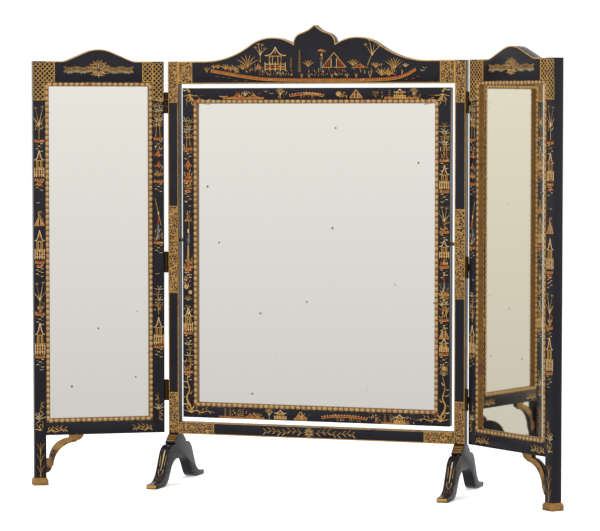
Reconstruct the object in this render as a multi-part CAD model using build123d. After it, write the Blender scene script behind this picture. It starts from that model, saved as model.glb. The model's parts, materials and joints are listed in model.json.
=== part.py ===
from build123d import *
import math
import os

# Folding dressing mirror for a table top, in millimetres. A looking-glass swings between
# two posts that stand on trestle feet, and a narrower looking-glass hangs from each post
# on three butt hinges and stands on one leg of its own.
# X runs to the right, Y away from the sitter and Z up. The origin is on the table, under
# the middle of the stand.

# Stand
STAND_WIDTH = 471.5
POST_WIDTH = 16.8
MEMBER_DEPTH = 15.8
STAND_BASE = 75.0
SHOULDER_HEIGHT = 645.0
BOTTOM_RAIL_HEIGHT = 18.4

# Crest: a lobe each side of a pointed arch, which starts where the lobes fall to a valley.
# Its rises are from the shoulders, and its depth is below them
CREST_DEPTH = 34.2
CREST_TIP_RISE = 53.5
CREST_TIP_FLAT = 1.2
LOBE_RISE = 35.4
LOBE_RADIUS = 62.0
LOBE_CENTRE = 67.0
SWEEP_MARGIN = 42.95
ARCH_HALF_WIDTH = 33.5
ARCH_SHOULDER = 20.0
ARCH_SHOULDER_DROP = 11.2
ARCH_SWELL = 3.8
ARCH_HOLLOW = 1.5

# Trestle feet, each sawn from one board and alike in front and behind. Reaches are from
# the middle of the post, and each swell or hollow is an arc's rise over its chord
FOOT_THICKNESS = 16.3
FOOT_REACH = 101.5
CAPITAL_REACH = 21.0
CAPITAL_DROP = 10.2
CAPITAL_SWELL = 0.6
ROLL_HEIGHT = 4.6
ROLL_OUT = 1.0
ROLL_SWELL = 2.0
ROLL_QUIRK = 0.6
KNEE_REACH = 51.5
KNEE_HEIGHT = 44.0
KNEE_SWELL = 5.8
SHIN_REACH = 64.0
SHIN_HEIGHT = 21.0
INSTEP_REACH = 87.0
INSTEP_HEIGHT = 7.6
INSTEP_HOLLOW = 3.0
TOE_THICKNESS = 7.0
HEEL_REACH = 70.0
HEEL_TOP_REACH = 51.5
HEEL_TOP_HEIGHT = 7.5
HEEL_SWELL = 1.8
LEG_ARCH_REACH = 41.5
LEG_ARCH_SPRING = 21.0
LEG_ARCH_HEIGHT = 37.3
LEG_ARCH_FLAT = 16.0
LEG_ARCH_ROUND = 3.8
POST_TENON_DEPTH = 26.0
POST_TENON_INSET = 4.0

# Frames of the three looking-glasses
MIRROR_SIDE_GAP = 7.1
MIRROR_TOP_GAP = 6.3
MIRROR_BOTTOM_GAP = 7.6
MIRROR_MEMBER = 17.3
WING_WIDTH = 200.6
WING_BASE_RISE = 1.3
WING_STILE = 17.6
WING_BOTTOM_RAIL = 19.2
WING_TOP_RAIL = 31.7
WING_CREST_RISE = 22.7
WING_CREST_HALF = 52.8
WING_CREST_CROWN = 50.0
WING_CREST_SWEEP = 25.0

# Joinery
TENON_LENGTH = 11.0
TENON_THICKNESS = 5.4
TENON_SHOULDER = 3.2
MORTISE_SPARE = 0.5

# Glazing, by its depth behind the front face of a frame
SLIP_WIDTH = 6.2
SLIP_DEPTH = 5.0
SLIP_SIDE = 0.9
SLIP_PROUD = 0.8
GLASS_THICKNESS = 4.0
GLASS_CLEARANCE = 0.4
BACKBOARD_THICKNESS = 3.5
REBATE_STEP = 5.0
NAIL_LENGTH = 8.5
NAIL_THICKNESS = 1.2
NAIL_HEAD = 2.4
NAIL_HEAD_THICKNESS = 0.5
NAIL_INSET = 38.0
HOLE_CLEARANCE = 0.05

# Legs of the side glasses. The bracket's sizes run along each arm from the corner
BLOCK_HEIGHT = 11.6
BLOCK_MARGIN = 2.7
BLOCK_BEVEL = 3.4
BLOCK_TOP_MARGIN = 0.4
LEG_TENON_DEPTH = 7.5
LEG_TENON_INSET = 5.0
BRACKET_THICKNESS = 8.5
BRACKET_SETBACK = 3.4
BRACKET_REACH = 58.0
BRACKET_SEAT = 22.0
BRACKET_SCROLL = 9.1
BRACKET_SCROLL_SWELL = 2.2
BRACKET_QUIRK = 2.3
BRACKET_THROAT = 22.0
BRACKET_BAND = 7.4
BRACKET_LIP = 5.0

# Butt hinges, screwed on the facing edges of post and stile
WING_GAP = 5.8
HINGE_LENGTH = 31.7
LOW_HINGE_RISE = 65.5
TOP_HINGE_DROP = 63.0
MIDDLE_HINGE_DROP = 23.4
HINGE_PROUD = 1.2
KNUCKLE_RADIUS = 2.7
KNUCKLE_COUNT = 3
KNUCKLE_GAP = 0.15
PIN_RADIUS = 1.2
PIN_HEAD_RADIUS = 2.1
PIN_HEAD_HEIGHT = 0.7
PIN_CLEARANCE = 0.08
SWING_CLEARANCE = 0.25
LEAF_THICKNESS = 1.2
LEAF_WIDTH = 13.0
SCREW_SPACING = 18.0
SCREW_LENGTH = 10.0
SCREW_RADIUS = 1.1
SCREW_HEAD_RADIUS = 2.2
SLOT_WIDTH = 0.6
SLOT_DEPTH = 0.4

# Swing pivots: a screw through each post, which turns in a bush in the frame
PIVOT_RISE = 20.0
PIVOT_RADIUS = 2.5
PIVOT_CLEARANCE = 0.05
PIVOT_HEAD_RADIUS = 4.4
PIVOT_SLOT = 1.0
PIVOT_ENGAGEMENT = 8.0
BUSH_RADIUS = 4.2
BUSH_LENGTH = 9.5
BUSH_FLANGE_RADIUS = 5.6
BUSH_FLANGE = 1.0

# Sides of the small round hardware
HARDWARE_SIDES = 12

# How far a cutting shape passes the face that it cuts
CUT_SPARE = 1.0

# Rest pose: how far each side glass is folded forward from flat, in degrees
LEFT_FOLD = 31.7
RIGHT_FOLD = 37.9

# Places worked out from the sizes
FRONT = -MEMBER_DEPTH / 2
BACK = MEMBER_DEPTH / 2
POST_OUTER = STAND_WIDTH / 2
POST_INNER = POST_OUTER - POST_WIDTH
POST_MIDDLE = POST_OUTER - POST_WIDTH / 2
RAIL_TOP = STAND_BASE + BOTTOM_RAIL_HEIGHT
CREST_UNDERSIDE = SHOULDER_HEIGHT - CREST_DEPTH
CREST_TIP = SHOULDER_HEIGHT + CREST_TIP_RISE
LOBE_TOP = SHOULDER_HEIGHT + LOBE_RISE
SWEEP_START = POST_INNER - SWEEP_MARGIN
MIRROR_HALF = POST_INNER - MIRROR_SIDE_GAP
MIRROR_LOW = RAIL_TOP + MIRROR_BOTTOM_GAP
MIRROR_HIGH = CREST_UNDERSIDE - MIRROR_TOP_GAP
PIVOT_HEIGHT = (MIRROR_LOW + MIRROR_HIGH) / 2 + PIVOT_RISE
GLASS_BACK = SLIP_DEPTH + GLASS_THICKNESS
BOARD_BACK = GLASS_BACK + BACKBOARD_THICKNESS
WING_BASE = STAND_BASE + WING_BASE_RISE
WING_TOP = SHOULDER_HEIGHT
LOW_HINGE = WING_BASE + LOW_HINGE_RISE
TOP_HINGE = WING_TOP - TOP_HINGE_DROP
HINGE_HEIGHTS = (LOW_HINGE, (LOW_HINGE + TOP_HINGE) / 2 - MIDDLE_HINGE_DROP, TOP_HINGE)
HINGE_X = POST_OUTER + WING_GAP / 2
HINGE_Y = FRONT - HINGE_PROUD
WING_INNER = POST_OUTER + WING_GAP
WING_OUTER = WING_INNER + WING_WIDTH
LEG_INNER = WING_OUTER - WING_STILE


def brick(x0, x1, y0, y1, z0, z1):
    """A square-edged piece between two opposite corners."""
    centre = Pos((x0 + x1) / 2, (y0 + y1) / 2, (z0 + z1) / 2)
    return centre * Box(abs(x1 - x0), abs(y1 - y0), abs(z1 - z0))


def faceted(radius, length, end_radius=None):
    """A small bar or countersink along Z, with few sides in place of a round one."""
    narrowing = (radius - (end_radius or radius)) * math.cos(math.pi / HARDWARE_SIDES)
    taper = math.degrees(math.atan(narrowing / length))
    return Pos(0, 0, -length / 2) * extrude(RegularPolygon(radius, HARDWARE_SIDES), length, taper=taper)


def rod_x(bar, x, y, z):
    """A bar laid along X, with its middle at a point."""
    return Pos(x, y, z) * Rot(0, 90, 0) * bar


def rod_z(radius, z0, z1, x, y):
    """A small bar along Z."""
    return Pos(x, y, (z0 + z1) / 2) * faceted(radius, z1 - z0)


def board(outline, y0, y1):
    """A board sawn to an outline drawn in X and Z, with its front at y0 and its back at y1."""
    face = Plane.XZ * make_face(outline)
    return Pos(0, y1, 0) * extrude(face, y1 - y0)


def mirrored(shape):
    """The same piece or edge on the other side of the middle."""
    return mirror(shape, about=Plane.YZ)


def tenon(x_shoulder, side, z0, z1, spare=0.0):
    """The tenon that leaves a rail's shoulder towards side, or with spare its mortise."""
    y0 = FRONT + (GLASS_BACK - TENON_THICKNESS) / 2
    x1 = x_shoulder + side * (TENON_LENGTH + spare)
    return brick(x_shoulder, x1, y0, y0 + TENON_THICKNESS, z0 + TENON_SHOULDER, z1 - TENON_SHOULDER)


# The stand: posts, crest rail, bottom rail and trestle feet

def crest_side():
    """The right half of the crest rail's outline, from the tip round to its underside."""
    lobe_z = LOBE_TOP - LOBE_RADIUS
    run = SWEEP_START - LOBE_CENTRE
    rise = SHOULDER_HEIGHT - lobe_z
    # the hollow sweep has the radius at which it meets the lobe smoothly
    sweep_radius = (run**2 + rise**2 - LOBE_RADIUS**2) / (2 * (LOBE_RADIUS - rise))
    share = LOBE_RADIUS / (LOBE_RADIUS + sweep_radius)
    meet = (LOBE_CENTRE + share * run, lobe_z + share * (rise + sweep_radius))
    half_lean = math.asin(run / (LOBE_RADIUS + sweep_radius)) / 2
    sweep_middle = (SWEEP_START - sweep_radius * math.sin(half_lean),
                    SHOULDER_HEIGHT + sweep_radius * (1 - math.cos(half_lean)))
    valley_drop = LOBE_RADIUS - math.sqrt(LOBE_RADIUS**2 - (LOBE_CENTRE - ARCH_HALF_WIDTH)**2)
    valley = (ARCH_HALF_WIDTH, LOBE_TOP - valley_drop)
    shoulder = (ARCH_SHOULDER, CREST_TIP - ARCH_SHOULDER_DROP)
    tip = (CREST_TIP_FLAT, CREST_TIP)
    sweep_end = (SWEEP_START, SHOULDER_HEIGHT)
    end = (POST_INNER, SHOULDER_HEIGHT)
    return [SagittaArc(tip, shoulder, -ARCH_HOLLOW),
            SagittaArc(shoulder, valley, ARCH_SWELL),
            ThreePointArc(valley, (LOBE_CENTRE, LOBE_TOP), meet),
            ThreePointArc(meet, sweep_middle, sweep_end),
            Line(sweep_end, end),
            Line(end, (POST_INNER, CREST_UNDERSIDE))]


def crest_rail():
    right = crest_side()
    left = [mirrored(edge) for edge in right]
    ends = [Line((-CREST_TIP_FLAT, CREST_TIP), (CREST_TIP_FLAT, CREST_TIP)),
            Line((-POST_INNER, CREST_UNDERSIDE), (POST_INNER, CREST_UNDERSIDE))]
    rail = board(left + right + ends, FRONT, BACK)
    for side in (-1, 1):
        rail += tenon(side * POST_INNER, side, CREST_UNDERSIDE, SHOULDER_HEIGHT)
    return rail


def bottom_rail():
    rail = brick(-POST_INNER, POST_INNER, FRONT, BACK, STAND_BASE, RAIL_TOP)
    for side in (-1, 1):
        rail += tenon(side * POST_INNER, side, STAND_BASE, RAIL_TOP)
    return rail


def post_tenon(spare=0.0):
    """The tenon under the right-hand post, which stands in the foot."""
    inset = POST_TENON_INSET
    return brick(POST_INNER + inset, POST_OUTER - inset, FRONT + inset, BACK - inset,
                 STAND_BASE - POST_TENON_DEPTH - spare, STAND_BASE)


def right_post():
    post = brick(POST_INNER, POST_OUTER, FRONT, BACK, STAND_BASE, SHOULDER_HEIGHT) + post_tenon()
    post -= tenon(POST_INNER, 1, CREST_UNDERSIDE, SHOULDER_HEIGHT, MORTISE_SPARE)
    post -= tenon(POST_INNER, 1, STAND_BASE, RAIL_TOP, MORTISE_SPARE)
    post -= pivot_screw(HOLE_CLEARANCE)
    return post - hinge_screws(-1, HOLE_CLEARANCE)


def foot_side():
    """The front half of a foot's outline, in reach from the post's middle and height."""
    neck = (MEMBER_DEPTH / 2, STAND_BASE)
    capital = (CAPITAL_REACH, STAND_BASE - CAPITAL_DROP)
    roll = (CAPITAL_REACH + ROLL_OUT, STAND_BASE - CAPITAL_DROP - ROLL_HEIGHT)
    quirk = (CAPITAL_REACH + ROLL_OUT, STAND_BASE - CAPITAL_DROP - ROLL_HEIGHT - ROLL_QUIRK)
    knee = (KNEE_REACH, KNEE_HEIGHT)
    shin = (SHIN_REACH, SHIN_HEIGHT)
    instep = (INSTEP_REACH, INSTEP_HEIGHT)
    toe_top = (FOOT_REACH - TOE_THICKNESS / 2, TOE_THICKNESS)
    toe_floor = (FOOT_REACH - TOE_THICKNESS / 2, 0)
    heel = (HEEL_REACH, 0)
    heel_top = (HEEL_TOP_REACH, HEEL_TOP_HEIGHT)
    spring = (LEG_ARCH_REACH, LEG_ARCH_SPRING)
    arch_top = (LEG_ARCH_FLAT, LEG_ARCH_HEIGHT)
    return [SagittaArc(neck, capital, CAPITAL_SWELL),
            SagittaArc(capital, roll, ROLL_SWELL),
            Line(roll, quirk),
            SagittaArc(quirk, knee, KNEE_SWELL),
            Line(knee, shin),
            SagittaArc(shin, instep, -INSTEP_HOLLOW),
            Line(instep, toe_top),
            SagittaArc(toe_top, toe_floor, TOE_THICKNESS / 2),
            Line(toe_floor, heel),
            SagittaArc(heel, heel_top, HEEL_SWELL),
            Line(heel_top, spring),
            SagittaArc(spring, arch_top, -LEG_ARCH_ROUND)]


def right_foot():
    front = foot_side()
    behind = [mirrored(edge) for edge in front]
    neck = MEMBER_DEPTH / 2
    ends = [Line((-neck, STAND_BASE), (neck, STAND_BASE)),
            Line((-LEG_ARCH_FLAT, LEG_ARCH_HEIGHT), (LEG_ARCH_FLAT, LEG_ARCH_HEIGHT))]
    sawn = board(front + behind + ends, -FOOT_THICKNESS / 2, FOOT_THICKNESS / 2)
    foot = Pos(POST_MIDDLE, 0, 0) * Rot(0, 0, 90) * sawn
    return foot - post_tenon(MORTISE_SPARE)


# The looking-glasses are all made alike: stiles, tenoned rails, mitred slips around the
# sight, and a glass held against the slips by a nailed backboard

def slip(x0, x1, z0, z1, edge):
    """One mitred slip of the moulding around a sight opening."""
    length = (x1 - x0) if edge in ("top", "bottom") else (z1 - z0)
    half = length / 2
    side = FRONT + SLIP_SIDE
    back = FRONT + SLIP_DEPTH
    section = [Line((0, back), (0, side)),
               ThreePointArc((0, side), (SLIP_WIDTH / 2, FRONT - SLIP_PROUD), (SLIP_WIDTH, side)),
               Line((SLIP_WIDTH, side), (SLIP_WIDTH, back)),
               Line((SLIP_WIDTH, back), (0, back))]
    strip = Pos(0, 0, -half) * extrude(make_face(section), length)
    inner = half - SLIP_WIDTH
    mitres = Polyline((0, half), (SLIP_WIDTH, inner), (SLIP_WIDTH, -inner), (0, -half), close=True)
    strip &= board(mitres, FRONT - SLIP_PROUD - CUT_SPARE, back + CUT_SPARE)
    turn = {"left": 0, "top": 90, "right": 180, "bottom": 270}[edge]
    x = {"left": x0, "right": x1}.get(edge, (x0 + x1) / 2)
    z = {"bottom": z0, "top": z1}.get(edge, (z0 + z1) / 2)
    return Pos(x, 0, z) * Rot(0, turn, 0) * strip


def nail(x, z, spare=0.0):
    """A square cut nail through the backboard into the frame, or with spare its hole."""
    back = FRONT + BOARD_BACK
    half = NAIL_THICKNESS / 2 + spare
    shank = brick(x - half, x + half, back - NAIL_LENGTH, back, z - half, z + half)
    if spare:
        return shank
    half = NAIL_HEAD / 2
    return shank + brick(x - half, x + half, back, back + NAIL_HEAD_THICKNESS, z - half, z + half)


def nail_spots(x0, x1, z0, z1, across, up):
    """Even places around the sight, over the middle of the rebate's step."""
    out = REBATE_STEP / 2
    xs = [x0 + NAIL_INSET + (x1 - x0 - 2 * NAIL_INSET) * i / (across - 1) for i in range(across)]
    zs = [z0 + NAIL_INSET + (z1 - z0 - 2 * NAIL_INSET) * i / (up - 1) for i in range(up)]
    spots = [(x, z) for x in xs for z in (z0 - out, z1 + out)]
    return spots + [(x, z) for z in zs for x in (x0 - out, x1 + out)]


def glazed_frame(x0, x1, z0, z1, stile, low_rail, high_rail, nails_across, nails_up):
    """The pieces of one looking-glass inside its outer edges, by name."""
    left, right = x0 + stile, x1 - stile
    low, high = z0 + low_rail, z1 - high_rail
    step = REBATE_STEP
    rebate = brick(left - step, right + step, FRONT + GLASS_BACK, BACK + CUT_SPARE,
                   low - step, high + step)
    spots = nail_spots(left, right, low, high, nails_across, nails_up)
    holes = [nail(x, z, HOLE_CLEARANCE) for x, z in spots]
    rails = {"bottom_rail": (z0, low), "top_rail": (high, z1)}
    pieces = {}
    for name, edge, outer, side in (("left_stile", left, x0, -1), ("right_stile", right, x1, 1)):
        mortises = [tenon(edge, side, a, b, MORTISE_SPARE) for a, b in rails.values()]
        pieces[name] = brick(edge, outer, FRONT, BACK, z0, z1) - mortises - rebate - holes
    for name, (a, b) in rails.items():
        rail = brick(left, right, FRONT, BACK, a, b) - rebate - holes
        pieces[name] = rail + tenon(left, -1, a, b) + tenon(right, 1, a, b)
    for edge in ("left", "top", "right", "bottom"):
        pieces[edge + "_slip"] = slip(left, right, low, high, edge)
    spare = GLASS_CLEARANCE
    pieces["glass"] = brick(left + spare, right - spare, FRONT + SLIP_DEPTH, FRONT + GLASS_BACK,
                            low + spare, high - spare)
    lap = step - GLASS_CLEARANCE
    panel = brick(left - lap, right + lap, FRONT + GLASS_BACK, FRONT + BOARD_BACK, low - lap, high + lap)
    pieces["backboard"] = panel - holes
    pieces["back_nails"] = [nail(x, z) for x, z in spots]
    return pieces


# Hinges, drawn for the right-hand post with the side glass opened flat. Side -1 is the
# post's leaf and side 1 is the stile's

def knuckle_span(height, index):
    """The bottom and top of one knuckle of the hinge centred at height."""
    pitch = (HINGE_LENGTH + KNUCKLE_GAP) / KNUCKLE_COUNT
    low = height - HINGE_LENGTH / 2 + index * pitch
    return low, low + pitch - KNUCKLE_GAP


def hinge_screws(side, spare=0.0):
    """The countersunk screws in one side's leaves, or with spare their holes."""
    face = HINGE_X + side * (WING_GAP / 2 - LEAF_THICKNESS)
    y = FRONT + LEAF_WIDTH / 2
    sink = LEAF_THICKNESS
    screws = []
    for height in HINGE_HEIGHTS:
        for z in (height - SCREW_SPACING / 2, height + SCREW_SPACING / 2):
            shank = rod_x(faceted(SCREW_RADIUS + spare, SCREW_LENGTH), face + side * SCREW_LENGTH / 2, y, z)
            head = faceted(SCREW_HEAD_RADIUS + spare, sink, SCREW_RADIUS + spare)
            screw = shank + Pos(face + side * sink / 2, y, z) * Rot(0, side * 90, 0) * head
            if not spare:
                half = SLOT_WIDTH / 2
                wide = SCREW_HEAD_RADIUS
                screw -= brick(face, face + side * SLOT_DEPTH, y - wide, y + wide, z - half, z + half)
            screws.append(screw)
    return screws


def hinge_leaves(side):
    """The three leaves of one side, with their knuckles cleared for the other side's."""
    own = [i for i in range(KNUCKLE_COUNT) if (i % 2 == 0) == (side < 0)]
    others = [i for i in range(KNUCKLE_COUNT) if i not in own]
    inner = HINGE_X + side * (WING_GAP / 2 - LEAF_THICKNESS)
    outer = HINGE_X + side * WING_GAP / 2
    outline = Polyline((inner, HINGE_Y), (HINGE_X + side * KNUCKLE_RADIUS, HINGE_Y), (outer, FRONT),
                       (outer, FRONT + LEAF_WIDTH), (inner, FRONT + LEAF_WIDTH), close=True)
    holes = hinge_screws(side, HOLE_CLEARANCE)
    leaves = []
    for height in HINGE_HEIGHTS:
        low, high = height - HINGE_LENGTH / 2, height + HINGE_LENGTH / 2
        leaf = Pos(0, 0, low) * extrude(make_face(outline), HINGE_LENGTH)
        for index in own:
            leaf += rod_z(KNUCKLE_RADIUS, *knuckle_span(height, index), HINGE_X, HINGE_Y)
        for index in others:
            z0, z1 = knuckle_span(height, index)
            room = KNUCKLE_RADIUS + SWING_CLEARANCE
            leaf -= brick(HINGE_X, HINGE_X + side * room, HINGE_Y - room, HINGE_Y + room,
                          z0 - KNUCKLE_GAP, z1 + KNUCKLE_GAP)
        leaf -= rod_z(PIN_RADIUS + PIN_CLEARANCE, low - CUT_SPARE, high + CUT_SPARE, HINGE_X, HINGE_Y)
        leaves.append(leaf - holes)
    return leaves


def hinge_pins():
    """The three pins, whose heads rest on the top knuckles."""
    pins = []
    for height in HINGE_HEIGHTS:
        low, high = height - HINGE_LENGTH / 2, height + HINGE_LENGTH / 2
        head = rod_z(PIN_HEAD_RADIUS, high, high + PIN_HEAD_HEIGHT, HINGE_X, HINGE_Y)
        pins.append(rod_z(PIN_RADIUS, low, high, HINGE_X, HINGE_Y) + head)
    return pins


# Swing pivots, drawn for the right-hand post

def pivot_screw(spare=0.0):
    """The screw through the post, or with spare its hole."""
    sink = PIVOT_HEAD_RADIUS - PIVOT_RADIUS
    length = POST_OUTER - MIRROR_HALF + PIVOT_ENGAGEMENT
    head = rod_x(faceted(PIVOT_RADIUS + spare, sink, PIVOT_HEAD_RADIUS + spare),
                 POST_OUTER - sink / 2, 0, PIVOT_HEIGHT)
    if spare:
        # the hole's flats clear the round shank
        radius = (PIVOT_RADIUS + spare) / math.cos(math.pi / HARDWARE_SIDES)
        return head + rod_x(faceted(radius, length), POST_OUTER - length / 2, 0, PIVOT_HEIGHT)
    screw = head + rod_x(Cylinder(PIVOT_RADIUS, length), POST_OUTER - length / 2, 0, PIVOT_HEIGHT)
    half = PIVOT_SLOT / 2
    wide = PIVOT_HEAD_RADIUS
    slot = brick(POST_OUTER - PIVOT_SLOT, POST_OUTER, -wide, wide, PIVOT_HEIGHT - half, PIVOT_HEIGHT + half)
    return screw - slot


def pivot_bush(spare=0.0):
    """The flanged bush in the frame's right-hand stile, or with spare its recess."""
    body = faceted(BUSH_RADIUS + spare, BUSH_LENGTH + spare)
    flange = faceted(BUSH_FLANGE_RADIUS + spare, BUSH_FLANGE)
    bush = rod_x(body, MIRROR_HALF - (BUSH_LENGTH + spare) / 2, 0, PIVOT_HEIGHT)
    bush += rod_x(flange, MIRROR_HALF - BUSH_FLANGE / 2, 0, PIVOT_HEIGHT)
    if spare:
        return bush
    bore = Cylinder(PIVOT_RADIUS + PIVOT_CLEARANCE, BUSH_LENGTH)
    return bush - rod_x(bore, MIRROR_HALF - BUSH_LENGTH / 2, 0, PIVOT_HEIGHT)


# The side glasses, drawn for the right-hand side and opened flat

def block_foot():
    """The bevelled block under the leg."""
    inner, outer = LEG_INNER - BLOCK_MARGIN, WING_OUTER + BLOCK_MARGIN
    front, back = FRONT - BLOCK_MARGIN, BACK + BLOCK_MARGIN
    bevel_start = BLOCK_HEIGHT - BLOCK_BEVEL
    taper = math.degrees(math.atan((BLOCK_MARGIN - BLOCK_TOP_MARGIN) / BLOCK_BEVEL))
    plan = Rectangle(outer - inner, back - front)
    bevelled = Pos((inner + outer) / 2, 0, bevel_start) * extrude(plan, BLOCK_BEVEL, taper=taper)
    block = brick(inner, outer, front, back, 0, bevel_start) + bevelled
    return block - leg_tenon(MORTISE_SPARE)


def leg_tenon(spare=0.0):
    """The stub under the leg, which stands in the block."""
    inset = LEG_TENON_INSET
    return brick(LEG_INNER + inset, WING_OUTER - inset, FRONT + inset, BACK - inset,
                 BLOCK_HEIGHT - LEG_TENON_DEPTH - spare, BLOCK_HEIGHT)


def bracket_end(place, turn):
    """The scrolled end of one arm, where place takes a distance along the arm and one off it."""
    seat = BRACKET_REACH - BRACKET_SEAT
    scroll_end = BRACKET_REACH - BRACKET_SCROLL
    scroll = SagittaArc(place(BRACKET_REACH, 0), place(scroll_end, BRACKET_SCROLL),
                        turn * BRACKET_SCROLL_SWELL)
    return [Line(place(seat, BRACKET_LIP), place(seat, 0)),
            Line(place(seat, 0), place(BRACKET_REACH, 0)),
            scroll,
            Line(place(scroll_end, BRACKET_SCROLL),
                 place(scroll_end - BRACKET_QUIRK, BRACKET_SCROLL + BRACKET_QUIRK))]


def bracket():
    """The open bracket in the corner of leg and rail."""
    def on_rail(along, off):
        return LEG_INNER - along, WING_BASE - off

    def on_leg(along, off):
        return LEG_INNER - off, WING_BASE - along

    seat = BRACKET_REACH - BRACKET_SEAT
    hollow = (BRACKET_REACH - BRACKET_SCROLL - BRACKET_QUIRK, BRACKET_SCROLL + BRACKET_QUIRK)
    eye = BRACKET_THROAT - BRACKET_BAND
    arcs = [ThreePointArc(on_rail(*hollow), on_rail(BRACKET_THROAT, BRACKET_THROAT), on_leg(*hollow)),
            ThreePointArc(on_rail(seat, BRACKET_LIP), on_rail(eye, eye), on_leg(seat, BRACKET_LIP))]
    front = FRONT + BRACKET_SETBACK
    return board(bracket_end(on_rail, -1) + bracket_end(on_leg, 1) + arcs,
                 front, front + BRACKET_THICKNESS)


def wing_crest():
    """The low arch on the side glass's top rail."""
    middle = (WING_INNER + WING_OUTER) / 2
    half = WING_WIDTH / 2 - WING_STILE
    root = WING_TOP - WING_TOP_RAIL / 2
    left, right = middle - half, middle + half
    top = FilletPolyline((left, WING_TOP), (middle - WING_CREST_HALF, WING_TOP),
                         (middle, WING_TOP + WING_CREST_RISE), (middle + WING_CREST_HALF, WING_TOP),
                         (right, WING_TOP), radius=[WING_CREST_SWEEP, WING_CREST_CROWN, WING_CREST_SWEEP])
    sides = Polyline((left, WING_TOP), (left, root), (right, root), (right, WING_TOP))
    return board(top.edges() + sides.edges(), FRONT, BACK)


def side_glass():
    """Every piece of the right-hand side glass, opened flat, by name."""
    frame = glazed_frame(WING_INNER, WING_OUTER, WING_BASE, WING_TOP, WING_STILE,
                         WING_BOTTOM_RAIL, WING_TOP_RAIL, 2, 4)
    pieces = {}
    for name, piece in frame.items():
        pieces[name.replace("left", "inner").replace("right", "outer")] = piece
    pieces["inner_stile"] -= hinge_screws(1, HOLE_CLEARANCE)
    leg = brick(LEG_INNER, WING_OUTER, FRONT, BACK, BLOCK_HEIGHT, WING_BASE)
    pieces["outer_stile"] = pieces["outer_stile"] + leg + leg_tenon()
    pieces["top_rail"] += wing_crest()
    pieces["block_foot"] = block_foot()
    pieces["bracket"] = bracket()
    pieces["hinge_leaves"] = hinge_leaves(1)
    pieces["hinge_screws"] = hinge_screws(1)
    return pieces


def swing_mirror():
    """Every piece of the middle looking-glass, upright, by name."""
    pieces = glazed_frame(-MIRROR_HALF, MIRROR_HALF, MIRROR_LOW, MIRROR_HIGH, MIRROR_MEMBER,
                          MIRROR_MEMBER, MIRROR_MEMBER, 3, 4)
    recess = pivot_bush(HOLE_CLEARANCE)
    pieces["right_stile"] -= recess
    pieces["left_stile"] -= mirrored(recess)
    pieces["right_pivot_bush"] = pivot_bush()
    pieces["left_pivot_bush"] = mirrored(pivot_bush())
    return pieces


def stand_side():
    """The pieces that the stand has on each side, drawn for the right, by name."""
    return {"post": right_post(), "trestle_foot": right_foot(), "pivot_screw": pivot_screw(),
            "post_hinge_leaves": hinge_leaves(-1), "post_hinge_screws": hinge_screws(-1),
            "hinge_pins": hinge_pins()}


# Writing the pieces

def solids_of(piece):
    return piece if isinstance(piece, list) else [piece]


def folded(solid, angle):
    """A piece of the flat right-hand side glass, folded forward about its hinges."""
    return solid.rotate(Axis((HINGE_X, HINGE_Y, 0), (0, 0, 1)), -angle)


def write(name, piece):
    solids = [solid for part in solids_of(piece) for solid in part.solids()]
    shape = solids[0] if len(solids) == 1 else Compound(children=solids)
    export_step(shape, f"parts/{name}.step")


def main():
    os.makedirs("parts", exist_ok=True)
    write("crest_rail", crest_rail())
    write("bottom_rail", bottom_rail())
    for name, piece in stand_side().items():
        write("right_" + name, piece)
        write("left_" + name, [mirrored(solid) for solid in solids_of(piece)])
    for name, piece in swing_mirror().items():
        write("mirror_" + name, piece)
    for name, piece in side_glass().items():
        write("right_wing_" + name, [folded(solid, RIGHT_FOLD) for solid in solids_of(piece)])
        write("left_wing_" + name, [mirrored(folded(solid, LEFT_FOLD)) for solid in solids_of(piece)])


main()
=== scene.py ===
import json
import math
import random

import bmesh
import bpy
from mathutils import Matrix, Vector
from mathutils.bvhtree import BVHTree

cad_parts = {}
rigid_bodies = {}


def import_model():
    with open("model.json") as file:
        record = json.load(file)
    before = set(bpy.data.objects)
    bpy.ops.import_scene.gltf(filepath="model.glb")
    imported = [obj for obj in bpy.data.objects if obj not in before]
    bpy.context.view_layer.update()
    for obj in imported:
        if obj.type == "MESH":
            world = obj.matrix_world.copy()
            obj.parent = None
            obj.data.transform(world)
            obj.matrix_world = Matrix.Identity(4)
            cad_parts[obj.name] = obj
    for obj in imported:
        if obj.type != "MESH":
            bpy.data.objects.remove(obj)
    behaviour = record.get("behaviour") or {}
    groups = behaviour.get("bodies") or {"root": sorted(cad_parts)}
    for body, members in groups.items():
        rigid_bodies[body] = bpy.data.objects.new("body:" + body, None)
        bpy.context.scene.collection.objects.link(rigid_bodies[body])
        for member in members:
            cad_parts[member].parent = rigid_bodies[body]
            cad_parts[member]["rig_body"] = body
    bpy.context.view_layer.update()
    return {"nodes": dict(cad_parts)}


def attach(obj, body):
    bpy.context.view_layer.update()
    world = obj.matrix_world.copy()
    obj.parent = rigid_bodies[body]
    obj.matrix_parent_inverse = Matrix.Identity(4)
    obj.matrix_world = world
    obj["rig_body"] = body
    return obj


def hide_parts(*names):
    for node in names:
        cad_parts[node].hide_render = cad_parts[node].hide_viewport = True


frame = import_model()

# The photographer's camera: a long lens 4.2 m away, to the right of the mirror and just
# above its middle, tipped down a little so that the crest and the feet both show.
CAMERA_PLACE = (1.33306, -3.99444, 0.56580)
CAMERA_LENS = 167.7
CAMERA_DOWN = 3.11
CAMERA_TURN = 18.78

camera_data = bpy.data.cameras.new("camera")
camera_data.sensor_width = 36
camera_data.lens = CAMERA_LENS
camera = bpy.data.objects.new("camera", camera_data)
camera.location = CAMERA_PLACE
camera.rotation_euler = (math.radians(90 - CAMERA_DOWN), 0, math.radians(CAMERA_TURN))
bpy.context.scene.collection.objects.link(camera)
bpy.context.scene.camera = camera
bpy.context.scene.view_settings.view_transform = "Standard"


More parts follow.
